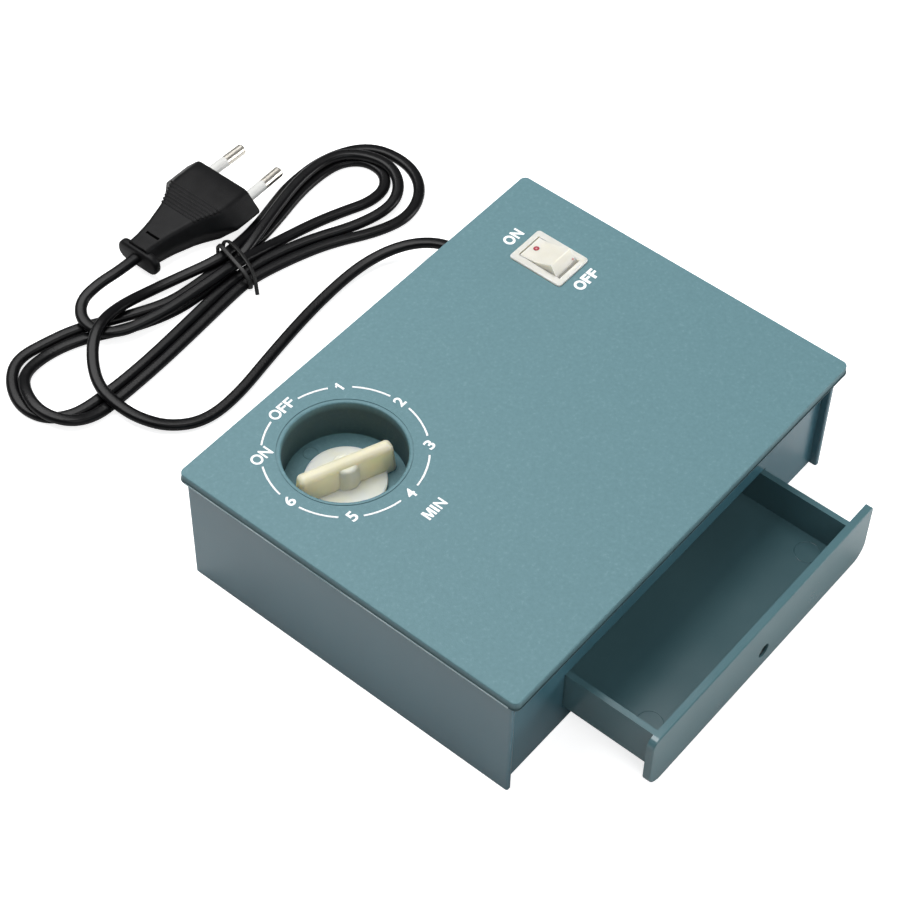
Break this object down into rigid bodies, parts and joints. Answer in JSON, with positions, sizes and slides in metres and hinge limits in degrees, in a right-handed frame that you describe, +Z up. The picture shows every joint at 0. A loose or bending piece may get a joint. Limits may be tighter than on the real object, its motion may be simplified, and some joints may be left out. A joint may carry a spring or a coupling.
{
  "type": "ultraviolet eprom eraser",
  "caption": "Flat teal box that erases memory chips with ultraviolet light: sliding chip drawer, winged timer knob sunk in the lid, rocker switch and a tied mains lead.",
  "frame": {"origin": "centre of the case's footprint, on the table", "axes": "+X along the front to the right, +Y to the back, +Z up; the drawer opens towards -Y"},
  "size_m": [0.1819, 0.2759, 0.0525],
  "materials": {
    "case_plastic": "fine grained moulded teal plastic",
    "knob_ivory": "smooth ivory plastic",
    "switch_cream": "smooth cream plastic",
    "screw_steel": "zinc plated",
    "brass": "plain",
    "timer_plastic": "plain",
    "lamp_glass": "clear",
    "aluminium": "bright",
    "holder_white": "plain",
    "board_green": "lacquered",
    "ferrite": "dull",
    "component_black": "plain",
    "cord_black": "satin",
    "tie_black": "satin",
    "plug_black": "satin",
    "pin_nickel": "nickel plated",
    "sleeve_white": "plain"
  },
  "bodies": {
    "case": {"case_body": "case_plastic", "lid": "case_plastic", "case_screws": "screw_steel", "timer_plate": "screw_steel", "timer_bush": "brass", "timer_housing": "timer_plastic", "timer_screws": "screw_steel", "timer_tabs": "brass", "switch_body": "switch_cream", "switch_tabs": "brass", "lamp_tube": "lamp_glass", "lamp_caps": "aluminium", "lamp_pins": "brass", "lamp_holder_left": "holder_white", "lamp_holder_right": "holder_white", "reflector": "aluminium", "reflector_screws": "screw_steel", "ballast_board": "board_green", "board_screws": "screw_steel", "ballast_choke": "ferrite", "ballast_capacitor": "component_black", "ballast_transistors": "component_black", "cord_relief": "cord_black", "cord_lead": "cord_black", "cord_hank": "cord_black", "cord_tie": "tie_black", "cord_plug_lead": "cord_black", "plug_body": "plug_black", "plug_pins": "pin_nickel", "plug_sleeves": "sleeve_white"},
    "drawer": {"drawer": "case_plastic"},
    "knob": {"timer_knob": "knob_ivory", "timer_shaft": "screw_steel"},
    "rocker": {"switch_rocker": "switch_cream"}
  },
  "joints": [
    {"name": "drawer_slide", "type": "slide", "parent": "case", "child": "drawer", "axis": [0, -1, 0], "range_m": [-0.0315, 0.0262]},
    {"name": "timer_turn", "type": "hinge", "parent": "case", "child": "knob", "pos_m": [-0.04435, 0.031, 0.036], "axis": [0, 0, 1], "range_deg": [-158, 157]},
    {"name": "rocker_tip", "type": "hinge", "parent": "case", "child": "rocker", "pos_m": [0.05735, 0.0336, 0.04468], "axis": [1, 0, 0], "range_deg": [0, 30]}
  ]
}
